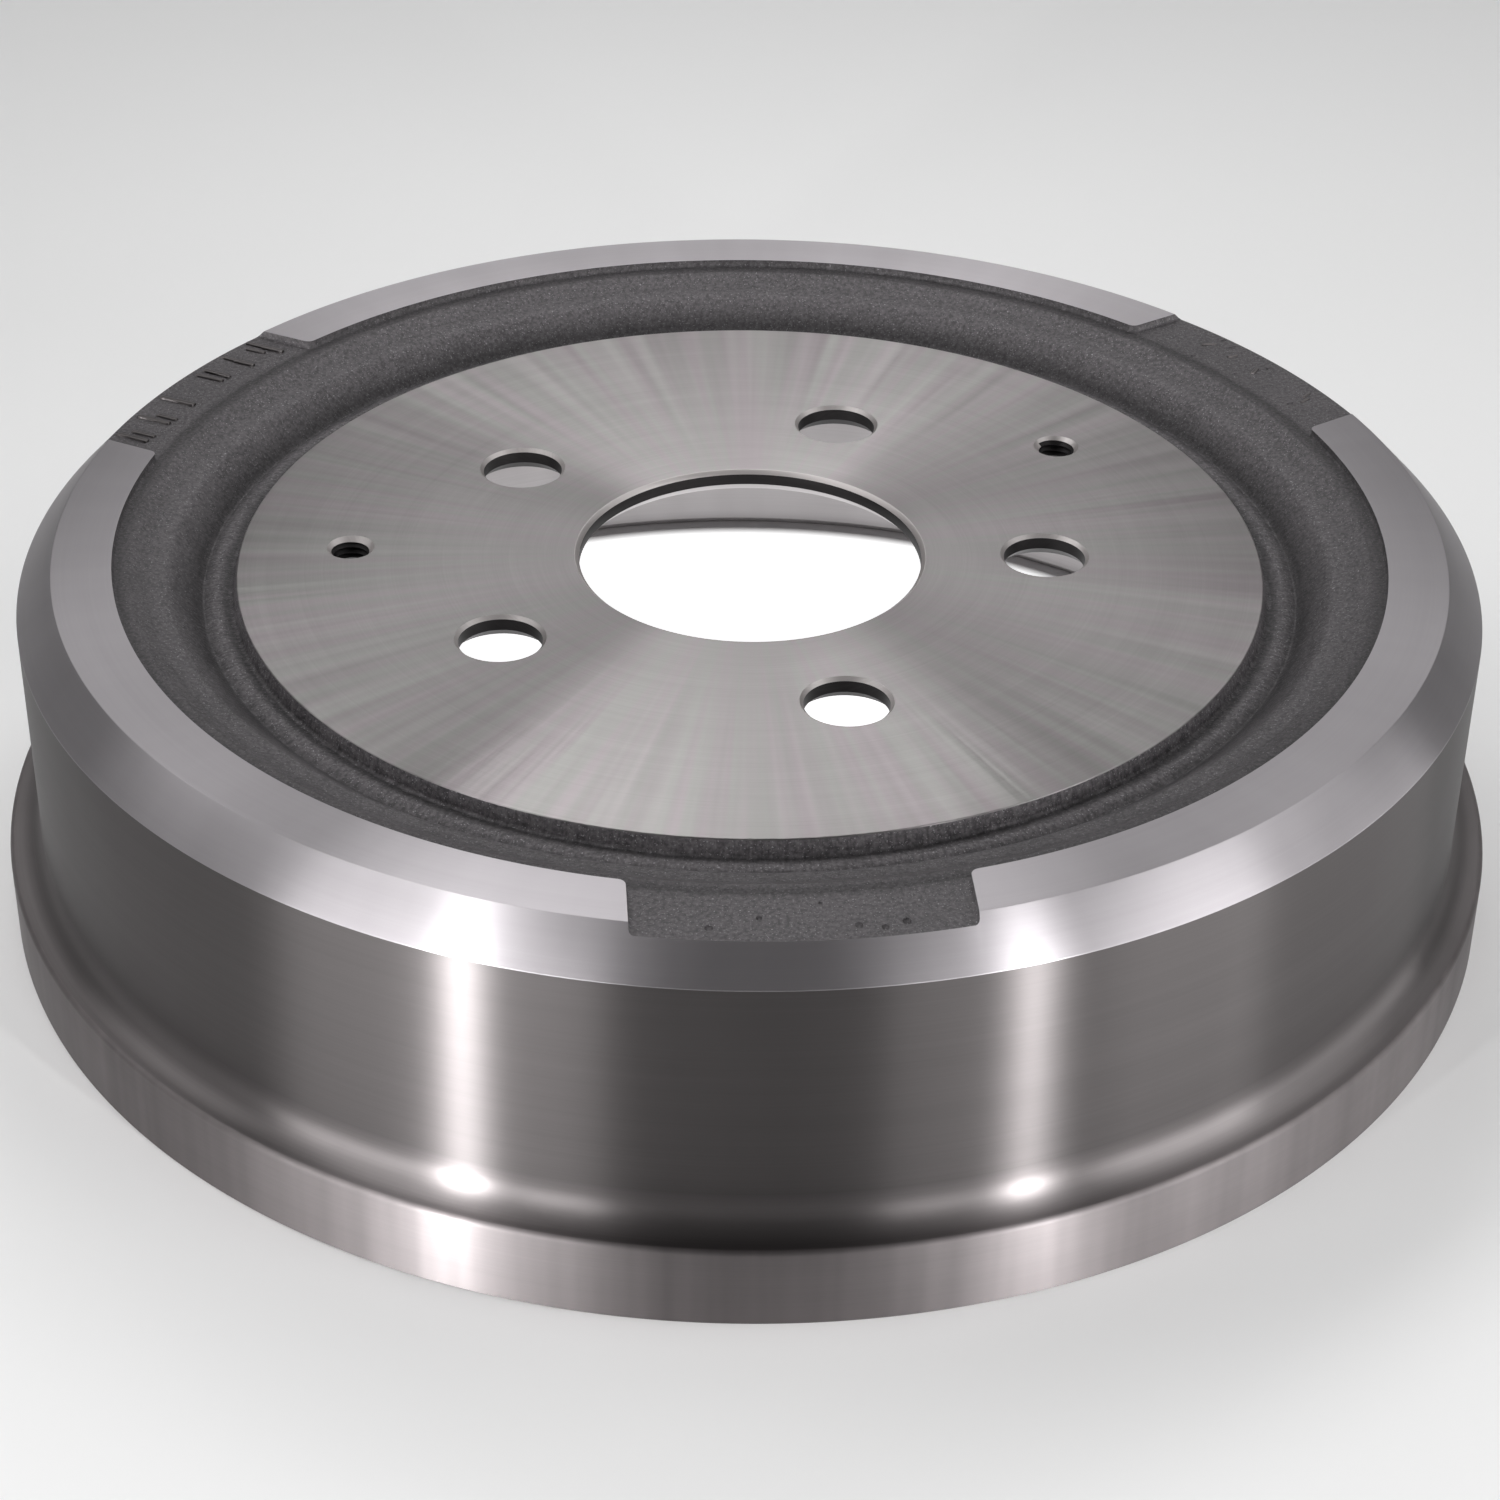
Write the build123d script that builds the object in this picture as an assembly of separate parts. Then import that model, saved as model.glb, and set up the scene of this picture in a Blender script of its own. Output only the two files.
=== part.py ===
from build123d import *
import math
import os

# A cast-iron brake drum in one piece, standing on its open rim.
# Z is its axis: the rim's end face lies at z = 0 and the wheel face looks up.
# Lengths are in millimetres, and angles run anticlockwise from +X, seen from above.

# Barrel and friction track
HEIGHT = 72.3
TRACK_R = 130.0
BARREL_WALL = 10.0
TRACK_LENGTH = 54.0
TRACK_RELIEF = 0.8
MOUTH_CHAMFER = 2.0
CROWN_CORNER = 2.5

# Thickened rim at the open end, with a groove in its end face for the backing plate's lip
RIM_STEP = 6.5
RIM_HEIGHT = 15.8
RIM_FILLET = 5.0
RIM_CHAMFER = 0.9
LIP_GROOVE_R = 139.5
LIP_GROOVE_WIDTH = 4.6
LIP_GROOVE_DEPTH = 6.0
LIP_GROOVE_DRAFT = 0.4

# Turned shoulder, which stands proud of the cast skin
SHOULDER_WIDTH = 11.3
SHOULDER_RISE = 1.6
SHOULDER_CHAMFER_WIDTH = 7.0
SHOULDER_CHAMFER_HEIGHT = 7.3
SHOULDER_WALL_DRAFT = 0.5

# Three cast pads that interrupt the shoulder
PAD_COUNT = 3
PAD_PHASE = 34.0
PAD_WIDTH = 56.4
PAD_CORNER = 1.6

# Turned hub face and the bore that centres the drum
HUB_FACE_DROP = 6.3
HUB_FACE_R = 98.8
WEB = 5.0
BORE_R = 33.2
BORE_FRONT_CHAMFER = 0.8
BORE_BACK_CHAMFER = 2.0
SEAT_R = 85.0
SEAT_DEPTH = 0.8

# Cast groove between the hub face and the shoulder, with a low bead along its bottom
GROOVE_DEPTH = 3.5
GROOVE_WALL_DRAFT = 0.9
GROOVE_FOOT_RISE = 0.3
BEAD_OFFSET = 4.4
BEAD_RISE = 0.9
VALLEY_OFFSET = 6.5
SLOPE_WIDTH = 6.2
SLOPE_RISE = 5.6
SHELF_WIDTH = 4.0
SHELF_RISE = 0.8
STEP_WIDTH = 3.2
CAST_WALL = 5.6
CROWN_WALL = 7.2

# Stud holes and jacking holes
STUD_COUNT = 5
STUD_PCD = 114.3
STUD_HOLE_R = 7.9
STUD_FRONT_CHAMFER = 0.7
STUD_BACK_CHAMFER = 2.0
JACK_R = 77.5
JACK_ANGLES = (36.0, 180.0)
JACK_CORE_R = 3.4
JACK_FRONT_CHAMFER = 1.2
JACK_BACK_CHAMFER = 0.8

# Sizes that follow from those above
BARREL_R = TRACK_R + BARREL_WALL
RIM_R = BARREL_R + RIM_STEP
SHOULDER_OUTER_R = BARREL_R - SHOULDER_CHAMFER_WIDTH
SHOULDER_INNER_R = SHOULDER_OUTER_R - SHOULDER_WIDTH
CAST_Z = HEIGHT - SHOULDER_RISE
CROWN_Z = CAST_Z - CROWN_WALL
HUB_Z = HEIGHT - HUB_FACE_DROP
SEAT_Z = HUB_Z - WEB
VALLEY_R = HUB_FACE_R + VALLEY_OFFSET
VALLEY_Z = HUB_Z - GROOVE_DEPTH
SLOPE_TOP_R = VALLEY_R + SLOPE_WIDTH
SLOPE_TOP_Z = VALLEY_Z + SLOPE_RISE
SHELF_R = SLOPE_TOP_R + SHELF_WIDTH
SHELF_Z = SLOPE_TOP_Z + SHELF_RISE


def hub_outline():
    """Corners of the hub face, from the bore to its outer edge."""
    return [
        (BORE_R, HUB_Z - BORE_FRONT_CHAMFER),
        (BORE_R + BORE_FRONT_CHAMFER, HUB_Z),
        (HUB_FACE_R, HUB_Z),
    ]


def groove_outline():
    """Corners of the cast groove, from the foot of the hub's wall out to the shoulder's wall."""
    return [
        (HUB_FACE_R + GROOVE_WALL_DRAFT, VALLEY_Z + GROOVE_FOOT_RISE),
        (HUB_FACE_R + BEAD_OFFSET, VALLEY_Z + BEAD_RISE),
        (VALLEY_R, VALLEY_Z),
        (SLOPE_TOP_R, SLOPE_TOP_Z),
        (SHELF_R, SHELF_Z),
        (SHELF_R + STEP_WIDTH, CAST_Z),
    ]


def shoulder_outline():
    """Corners of the turned shoulder and its chamfer, down to the barrel."""
    return [
        (SHOULDER_INNER_R - SHOULDER_WALL_DRAFT, CAST_Z),
        (SHOULDER_INNER_R, HEIGHT),
        (SHOULDER_OUTER_R, HEIGHT),
        (BARREL_R, HEIGHT - SHOULDER_CHAMFER_HEIGHT),
    ]


def rim_outline():
    """Corners of the rim: its outside, its grooved end face and the mouth."""
    groove_in = LIP_GROOVE_R - LIP_GROOVE_WIDTH / 2
    groove_out = LIP_GROOVE_R + LIP_GROOVE_WIDTH / 2
    return [
        (BARREL_R, RIM_HEIGHT, RIM_FILLET),
        (RIM_R - RIM_CHAMFER, RIM_HEIGHT),
        (RIM_R, RIM_HEIGHT - RIM_CHAMFER),
        (RIM_R, 0),
        (groove_out, 0),
        (groove_out - LIP_GROOVE_DRAFT, LIP_GROOVE_DEPTH),
        (groove_in + LIP_GROOVE_DRAFT, LIP_GROOVE_DEPTH),
        (groove_in, 0),
        (TRACK_R + MOUTH_CHAMFER, 0),
    ]


def track_outline():
    """Corners of the friction track and of the relief at its inner end."""
    relief_r = TRACK_R + TRACK_RELIEF
    relief_z = MOUTH_CHAMFER + TRACK_LENGTH
    return [
        (TRACK_R, MOUTH_CHAMFER),
        (TRACK_R, relief_z),
        (relief_r, relief_z),
        (relief_r - CROWN_CORNER, CROWN_Z),
    ]


def web_outline():
    """Corners of the web's underside, which follows the groove a wall's thickness below it, and the seat."""
    slope = math.atan2(SLOPE_RISE, SLOPE_WIDTH)
    floor_z = VALLEY_Z - CAST_WALL
    floor_r = VALLEY_R + CAST_WALL * math.tan(slope / 2)
    return [
        (floor_r + (CROWN_Z - floor_z) / math.tan(slope), CROWN_Z),
        (floor_r, floor_z),
        (HUB_FACE_R - CAST_WALL / 2, floor_z),
        (HUB_FACE_R - CAST_WALL, SEAT_Z - SEAT_DEPTH),
        (SEAT_R, SEAT_Z - SEAT_DEPTH),
        (SEAT_R, SEAT_Z),
        (BORE_R + BORE_BACK_CHAMFER, SEAT_Z),
        (BORE_R, SEAT_Z + BORE_BACK_CHAMFER),
    ]


def turned_body():
    """The drum's whole section, revolved about its axis. A corner's third value is its rounding."""
    corners = hub_outline() + groove_outline() + shoulder_outline()
    corners += rim_outline() + track_outline() + web_outline()
    points = [(corner[0], 0, corner[1]) for corner in corners]
    rounds = [corner[2] if len(corner) > 2 else 0 for corner in corners]
    path = FilletPolyline(*points, radius=rounds, close=True)
    return revolve(make_face(path), Axis.Z, 360)


def pad_gaps():
    """What is missing from the shoulder above the cast pads, with round corners on its plan."""
    outer_r = RIM_R
    ring = Circle(outer_r) - Circle(SHOULDER_INNER_R)
    slot = Pos(outer_r / 2, 0) * Rectangle(outer_r, PAD_WIDTH)
    for place in PolarLocations(0, PAD_COUNT, PAD_PHASE):
        ring -= place * slot
    inner_corners = ring.vertices().group_by(lambda v: round(math.hypot(v.X, v.Y), 3))[0]
    lands = fillet(inner_corners, PAD_CORNER)
    gaps = Circle(outer_r) - lands
    return extrude(Pos(0, 0, CAST_Z) * gaps, SHOULDER_RISE * 2)


def through_hole(radius, front, back):
    """A cutter for a hole through the web, with a chamfer at the front face and one at the back."""
    over = 1.0
    half_section = Polyline(
        (0, 0, SEAT_Z - over),
        (radius + back + over, 0, SEAT_Z - over),
        (radius, 0, SEAT_Z + back),
        (radius, 0, HUB_Z - front),
        (radius + front + over, 0, HUB_Z + over),
        (0, 0, HUB_Z + over),
        close=True,
    )
    return revolve(make_face(half_section), Axis.Z, 360)


def stud_holes():
    """The circle of holes that the wheel studs pass through."""
    hole = through_hole(STUD_HOLE_R, STUD_FRONT_CHAMFER, STUD_BACK_CHAMFER)
    return [place * hole for place in PolarLocations(STUD_PCD / 2, STUD_COUNT)]


def jack_holes():
    """The two holes, at thread core size, whose screws push the drum off its hub."""
    hole = through_hole(JACK_CORE_R, JACK_FRONT_CHAMFER, JACK_BACK_CHAMFER)
    return [Rot(0, 0, angle) * Pos(JACK_R, 0, 0) * hole for angle in JACK_ANGLES]


def brake_drum():
    """The finished casting."""
    return turned_body() - pad_gaps() - stud_holes() - jack_holes()


os.makedirs("parts", exist_ok=True)
drum = brake_drum()
export_step(drum, "parts/brake_drum.step")
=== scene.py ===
"""A cast-iron brake drum standing on its open rim, in a plain pale studio.

The drum is one casting: a turned hub face with a bore, five stud holes and two jacking holes, a cast
groove with a low bead, a turned shoulder that three cast pads interrupt, a turned barrel and a thick rim.
Sizes are written in millimetres and built in metres.
"""

import logging
import math
from dataclasses import dataclass, field
from enum import Enum
from typing import Callable, Sequence

import bmesh
import bpy
from mathutils import Matrix, Vector


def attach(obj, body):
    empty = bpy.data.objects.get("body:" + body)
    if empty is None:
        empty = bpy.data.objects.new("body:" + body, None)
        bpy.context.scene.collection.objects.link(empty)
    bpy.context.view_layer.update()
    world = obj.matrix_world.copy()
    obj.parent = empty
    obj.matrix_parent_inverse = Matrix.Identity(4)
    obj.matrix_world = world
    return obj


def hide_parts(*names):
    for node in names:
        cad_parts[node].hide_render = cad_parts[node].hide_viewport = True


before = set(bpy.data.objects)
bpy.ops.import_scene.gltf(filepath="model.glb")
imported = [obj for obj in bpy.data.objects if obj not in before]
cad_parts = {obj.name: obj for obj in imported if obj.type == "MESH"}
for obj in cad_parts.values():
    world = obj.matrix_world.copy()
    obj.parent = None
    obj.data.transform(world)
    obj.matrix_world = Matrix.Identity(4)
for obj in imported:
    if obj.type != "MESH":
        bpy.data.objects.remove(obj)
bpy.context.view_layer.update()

MM = 0.001
FULL_TURN = 2 * math.pi
SAME_PLACE = 2e-6
MERGE = 1e-6
CHAMFER_UP = 0.3
LOG = logging.getLogger("brake_drum")


class Zone(Enum):
    """The drum's surfaces by how they are finished. A member's value is its material slot."""

    HUB_FACE = 0
    SHOULDER = 1
    BARREL = 2
    CAST_SKIN = 3
    HOLE_WALL = 4
    INSIDE = 5
    RIM = 6
    HOLE_EDGE = 7


# Modelling helpers


@dataclass(frozen=True)
class Corner:
    """A corner of a turned section, in millimetres."""

    radius: float
    height: float
    rounding: float = 0.0
    segments: int = 3

    def flat(self) -> Vector:
        """The corner as a point of the section's plane.

        Returns:
            Its radius and height, in millimetres.
        """
        return Vector((self.radius, self.height))


def deselect_everything() -> None:
    """Leaves object mode with nothing selected."""
    if bpy.context.mode != "OBJECT":
        bpy.ops.object.mode_set(mode="OBJECT")
    bpy.ops.object.select_all(action="DESELECT")


def make_active(piece: bpy.types.Object) -> None:
    """Selects one object alone.

    Args:
        piece: the object that the next operators act on.
    """
    deselect_everything()
    piece.select_set(True)
    bpy.context.view_layer.objects.active = piece


def edit(piece: bpy.types.Object, mode: str = "VERT") -> None:
    """Opens one object in edit mode.

    Args:
        piece: the object to edit.
        mode: what is picked: VERT, EDGE or FACE.
    """
    make_active(piece)
    bpy.ops.object.mode_set(mode="EDIT")
    bpy.ops.mesh.select_mode(type=mode)


def pick(kind: str, test: Callable[[Vector], bool]) -> int:
    """Selects parts of the mesh in edit mode by their place.

    Args:
        kind: verts, edges or faces.
        test: says of a part's middle, in metres, whether it is picked.

    Returns:
        How many parts were picked.
    """
    bpy.ops.mesh.select_all(action="DESELECT")
    shape = bmesh.from_edit_mesh(bpy.context.edit_object.data)
    count = 0
    for part in getattr(shape, kind):
        if kind == "verts":
            middle = part.co
        elif kind == "edges":
            middle = (part.verts[0].co + part.verts[1].co) / 2
        else:
            middle = part.calc_center_median()
        if test(middle):
            part.select_set(True)
            count += 1
    shape.select_flush_mode()
    bmesh.update_edit_mesh(bpy.context.edit_object.data)
    return count


def start_point(name: str, place: Vector) -> bpy.types.Object:
    """Adds a small plane and merges it to the one point that a chain grows from.

    Args:
        name: the new object's name.
        place: where the point is, in metres.

    Returns:
        The object, in edit mode with its point picked.
    """
    deselect_everything()
    bpy.ops.mesh.primitive_plane_add(size=MM, location=place)
    piece = bpy.context.active_object
    piece.name = name
    piece.data.name = name
    bpy.ops.object.transform_apply(location=True, rotation=True, scale=True)
    edit(piece)
    bpy.ops.mesh.select_all(action="SELECT")
    bpy.ops.mesh.merge(type="CENTER")
    return piece


def extrude_to(step: Vector) -> None:
    """Extrudes what is picked.

    Args:
        step: the way from the old part to the new one, in metres.
    """
    bpy.ops.mesh.extrude_region_move(TRANSFORM_OT_translate={"value": step})


def reach_of(before: Vector, here: Vector, after: Vector, rounding: float) -> float:
    """How far from its corner a rounding starts.

    Args:
        before: the corner before it.
        here: the corner that is rounded.
        after: the corner after it.
        rounding: the radius of the round.

    Returns:
        The distance along either side, in the unit of the arguments.
    """
    turn = (here - before).angle(after - here)
    return rounding * math.tan(turn / 2)


def round_point(place: Vector, reach: float, segments: int) -> None:
    """Rounds one point of a chain in edit mode.

    Args:
        place: the point, in metres.
        reach: how far along both sides the round goes, in metres.
        segments: how many short sides make the round.
    """
    pick("verts", lambda at: (at - place).length < SAME_PLACE)
    bpy.ops.mesh.bevel(offset=reach, segments=segments, affect="VERTICES", clamp_overlap=False)


def clean_shell(piece: bpy.types.Object) -> None:
    """Merges a spun or filled shell's doubles and turns its faces outwards.

    Args:
        piece: the shell to clean.
    """
    edit(piece)
    bpy.ops.mesh.select_all(action="SELECT")
    bpy.ops.mesh.remove_doubles(threshold=MERGE)
    bpy.ops.mesh.normals_make_consistent(inside=False)
    if bmesh.from_edit_mesh(piece.data).calc_volume(signed=True) < 0:
        bpy.ops.mesh.flip_normals()
    deselect_everything()


def turn_section(
    name: str,
    corners: Sequence[Corner],
    steps: int,
    axis_at: float = 0.0,
    subdivide: Callable[[], None] | None = None,
) -> bpy.types.Object:
    """Draws a section corner by corner, rounds it and spins it about an upright axis.

    Args:
        name: the new object's name.
        corners: the section, with radii from the axis.
        steps: how many parts the full turn has.
        axis_at: where the axis crosses X, in millimetres.
        subdivide: a step in edit mode that divides the finished section before it is spun.

    Returns:
        The turned object, with its faces outwards.
    """
    def place(corner: Corner) -> Vector:
        """Puts a corner of the section into space.

        Args:
            corner: the corner.

        Returns:
            Its place, in metres.
        """
        return Vector((axis_at + corner.radius, 0, corner.height)) * MM

    on_axis = corners[0].radius == 0 and corners[-1].radius == 0
    piece = start_point(name, place(corners[0]))
    for before, here in zip(corners, corners[1:]):
        extrude_to(place(here) - place(before))
    if not on_axis:
        ends = (place(corners[0]), place(corners[-1]))
        pick("verts", lambda at: min((at - end).length for end in ends) < SAME_PLACE)
        bpy.ops.mesh.edge_face_add()
    for index, corner in enumerate(corners):
        if corner.rounding:
            before = corners[index - 1]
            after = corners[(index + 1) % len(corners)]
            reach = reach_of(before.flat(), corner.flat(), after.flat(), corner.rounding)
            round_point(place(corner), reach * MM, corner.segments)
    if subdivide:
        subdivide()
    bpy.ops.mesh.select_all(action="SELECT")
    bpy.ops.mesh.spin(steps=steps, angle=FULL_TURN, center=(axis_at * MM, 0, 0), axis=(0, 0, 1))
    clean_shell(piece)
    return piece


def turned_copy(piece: bpy.types.Object, angle: float) -> bpy.types.Object:
    """Copies an object with its own mesh and turns the copy about the drum's axis.

    Args:
        piece: the object that is copied.
        angle: the turn in degrees, anticlockwise from above.

    Returns:
        The copy, with its turn applied to its mesh.
    """
    make_active(piece)
    bpy.ops.object.duplicate(linked=False)
    copy = bpy.context.active_object
    copy.rotation_euler.z = math.radians(angle)
    bpy.ops.object.transform_apply(location=True, rotation=True, scale=True)
    return copy


def join(pieces: Sequence[bpy.types.Object]) -> bpy.types.Object:
    """Joins objects into the first of them.

    Args:
        pieces: the objects, which don't touch each other.

    Returns:
        The joined object.
    """
    make_active(pieces[0])
    for piece in pieces:
        piece.select_set(True)
    bpy.ops.object.join()
    return bpy.context.active_object


def combine(piece: bpy.types.Object, tool: bpy.types.Object, operation: str) -> None:
    """Cuts a tool's shape out of an object, or adds it, and deletes the tool.

    Args:
        piece: the object that is changed.
        tool: the closed shape to cut or to add.
        operation: DIFFERENCE or UNION.
    """
    make_active(piece)
    modifier = piece.modifiers.new(tool.name, "BOOLEAN")
    modifier.operation = operation
    modifier.solver = "MANIFOLD"
    modifier.object = tool
    bpy.ops.object.modifier_apply(modifier=modifier.name)
    bpy.data.objects.remove(tool, do_unlink=True)


# The drum's parts


@dataclass(frozen=True)
class DrumSizes:
    """The drum's driving sizes, in millimetres and degrees."""

    height: float = 72.3
    track_radius: float = 130.0
    barrel_radius: float = 140.0
    track_end: float = 56.0
    track_relief: float = 0.8
    mouth_chamfer: float = 2.0
    crown_corner: float = 2.5
    rim_radius: float = 146.5
    rim_height: float = 15.8
    rim_fillet: float = 5.0
    lip_groove_radius: float = 139.5
    lip_groove_width: float = 4.6
    lip_groove_depth: float = 6.0
    lip_groove_draft: float = 0.4
    shoulder_inner: float = 121.7
    shoulder_outer: float = 133.0
    shoulder_rise: float = 1.6
    shoulder_chamfer: float = 7.3
    pad_count: int = 3
    pad_phase: float = 34.0
    pad_width: float = 56.4
    pad_corner: float = 1.6
    pad_foot: float = 0.7
    hub_face: float = 66.0
    hub_radius: float = 98.8
    web: float = 5.0
    bore_radius: float = 33.2
    bore_front: float = 0.8
    bore_back: float = 2.0
    seat_radius: float = 85.0
    seat_depth: float = 0.8
    groove_foot: tuple[float, float] = (99.7, 62.8)
    bead: tuple[float, float] = (103.2, 63.4)
    valley: tuple[float, float] = (105.3, 62.5)
    slope_top: tuple[float, float] = (111.5, 68.1)
    shelf: tuple[float, float] = (115.5, 68.9)
    ledge_radius: float = 118.7
    cast_wall: float = 5.6
    crown: float = 63.5
    stud_count: int = 5
    stud_circle: float = 57.15
    stud_radius: float = 7.9
    stud_front: float = 0.7
    stud_back: float = 2.0
    jack_circle: float = 77.5
    jack_angles: tuple[float, float] = (36.0, 180.0)
    jack_radius: float = 3.4
    jack_front: float = 1.2
    jack_back: float = 0.8

    @property
    def cast_height(self) -> float:
        """The cast ledge and the pads' floors.

        Returns:
            Their height, in millimetres.
        """
        return self.height - self.shoulder_rise

    @property
    def seat(self) -> float:
        """The machined seat on the web's underside.

        Returns:
            Its height, in millimetres.
        """
        return self.hub_face - self.web

    @property
    def pad_angles(self) -> list[float]:
        """Where the pads are.

        Returns:
            Each pad's angle, in degrees.
        """
        return [self.pad_phase + index * 360 / self.pad_count for index in range(self.pad_count)]


@dataclass
class TurnedBody:
    """The whole casting as one section that is turned about the drum's axis."""

    sizes: DrumSizes
    steps: int = 480
    edge: float = 0.3
    grain_step: float = 1.1
    rim_edge: float = 0.85
    slack: float = 0.1

    def front(self) -> list[Corner]:
        """Lists the corners of the hub face, the cast groove and the shoulder.

        Returns:
            The corners from the bore outwards.
        """
        s = self.sizes
        rise = (s.cast_height - s.shelf[1]) / (s.ledge_radius - s.shelf[0])
        over_ledge = s.shelf[0] + (s.height - s.shelf[1]) / rise
        return [
            Corner(s.bore_radius, s.hub_face - s.bore_front, 0.1, 2),
            Corner(s.bore_radius + s.bore_front, s.hub_face, 0.2, 2),
            Corner(s.hub_radius, s.hub_face, self.edge, 3),
            Corner(*s.groove_foot, 0.8, 4),
            Corner(*s.bead, 3.4, 6),
            Corner(*s.valley, 0.5, 4),
            Corner(*s.slope_top, 3.6, 5),
            Corner(*s.shelf, 2.6, 3),
            Corner(over_ledge, s.height),
            Corner(s.shoulder_outer, s.height, self.edge, 3),
            Corner(s.barrel_radius, s.height - s.shoulder_chamfer, self.edge, 3),
        ]

    def rim(self) -> list[Corner]:
        """Lists the corners of the rim, its grooved end face and the mouth.

        Returns:
            The corners from the barrel's foot round to the mouth.
        """
        s = self.sizes
        groove_in = s.lip_groove_radius - s.lip_groove_width / 2
        groove_out = s.lip_groove_radius + s.lip_groove_width / 2
        return [
            Corner(s.barrel_radius, s.rim_height, s.rim_fillet, 12),
            Corner(s.rim_radius, s.rim_height, 0.9, 4),
            Corner(s.rim_radius, 0, 0.5, 3),
            Corner(groove_out, 0, 0.2, 2),
            Corner(groove_out - s.lip_groove_draft, s.lip_groove_depth, 0.6, 3),
            Corner(groove_in + s.lip_groove_draft, s.lip_groove_depth, 0.6, 3),
            Corner(groove_in, 0, 0.2, 2),
            Corner(s.track_radius + s.mouth_chamfer, 0, 0.2, 2),
        ]

    def inside(self) -> list[Corner]:
        """Lists the corners of the friction track and the web's underside.

        Returns:
            The corners from the mouth back to the bore.
        """
        s = self.sizes
        relief = s.track_radius + s.track_relief
        slope = math.atan2(s.slope_top[1] - s.valley[1], s.slope_top[0] - s.valley[0])
        floor = s.valley[1] - s.cast_wall
        floor_radius = s.valley[0] + s.cast_wall * math.tan(slope / 2)
        crown_radius = floor_radius + (s.crown - floor) / math.tan(slope)
        recess = s.seat - s.seat_depth
        return [
            Corner(s.track_radius, s.mouth_chamfer, 0.2, 2),
            Corner(s.track_radius, s.track_end, 0.1, 2),
            Corner(relief, s.track_end, 0.1, 2),
            Corner(relief - s.crown_corner, s.crown, 3.0, 6),
            Corner(crown_radius, s.crown, 3.0, 5),
            Corner(floor_radius, floor, 2.5, 5),
            Corner(s.hub_radius - s.cast_wall / 2, floor, 1.5, 4),
            Corner(s.hub_radius - s.cast_wall, recess, 1.5, 4),
            Corner(s.seat_radius, recess, 0.3, 2),
            Corner(s.seat_radius, s.seat, 0.2, 2),
            Corner(s.bore_radius + s.bore_back, s.seat, 0.2, 2),
            Corner(s.bore_radius, s.seat + s.bore_back, 0.1, 2),
        ]

    def divide_groove(self) -> None:
        """Divides the cast groove's long sides, so that its skin can be uneven."""
        s = self.sizes
        shape = bmesh.from_edit_mesh(bpy.context.edit_object.data)
        lengths: dict[int, list[Vector]] = {}
        for edge in shape.edges:
            low, high = sorted(corner.co.x / MM for corner in edge.verts)
            outside = min(corner.co.z / MM for corner in edge.verts) > s.valley[1] - 0.5
            if outside and low > s.hub_radius + 2 * self.slack and high < s.shoulder_inner:
                cuts = int(edge.calc_length() / MM / self.grain_step)
                if cuts:
                    lengths.setdefault(cuts, []).append((edge.verts[0].co + edge.verts[1].co) / 2)
        for cuts, middles in sorted(lengths.items()):
            near = [middle.copy() for middle in middles]
            pick("edges", lambda at: any((at - middle).length < MERGE for middle in near))
            bpy.ops.mesh.subdivide(number_cuts=cuts)

    def build(self) -> bpy.types.Object:
        """Turns the section.

        Returns:
            The closed body, without pads or holes.
        """
        corners = self.front() + self.rim() + self.inside()
        return turn_section("brake_drum_shell", corners, self.steps, subdivide=self.divide_groove)

    def zone(self, at: Vector, up: float) -> Zone:
        """Finish of one face.

        Args:
            at: the face's middle, in metres.
            up: its normal's Z.

        Returns:
            The zone that the face belongs to.
        """
        s = self.sizes
        radius = math.hypot(at.x, at.y) / MM
        height = at.z / MM
        if radius < s.bore_radius + s.bore_front + self.slack:
            return Zone.HOLE_EDGE if up > CHAMFER_UP else Zone.HOLE_WALL
        if up > 0.2 and height > s.hub_face - 0.4 and radius < s.hub_radius + 0.3:
            return Zone.HUB_FACE
        if radius < s.seat_radius + 1:
            return Zone.INSIDE
        if radius < s.shoulder_inner - self.slack:
            return Zone.CAST_SKIN
        if height > s.height - s.shoulder_chamfer - 0.2 and up > -0.1:
            return Zone.SHOULDER
        if radius > s.rim_radius - self.rim_edge:
            return Zone.RIM
        if radius > s.barrel_radius - 2 * self.slack and height > s.rim_height - 1:
            return Zone.BARREL
        if height > s.track_end + self.edge and radius < s.track_radius + s.track_relief + self.slack:
            return Zone.CAST_SKIN
        return Zone.INSIDE


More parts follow.
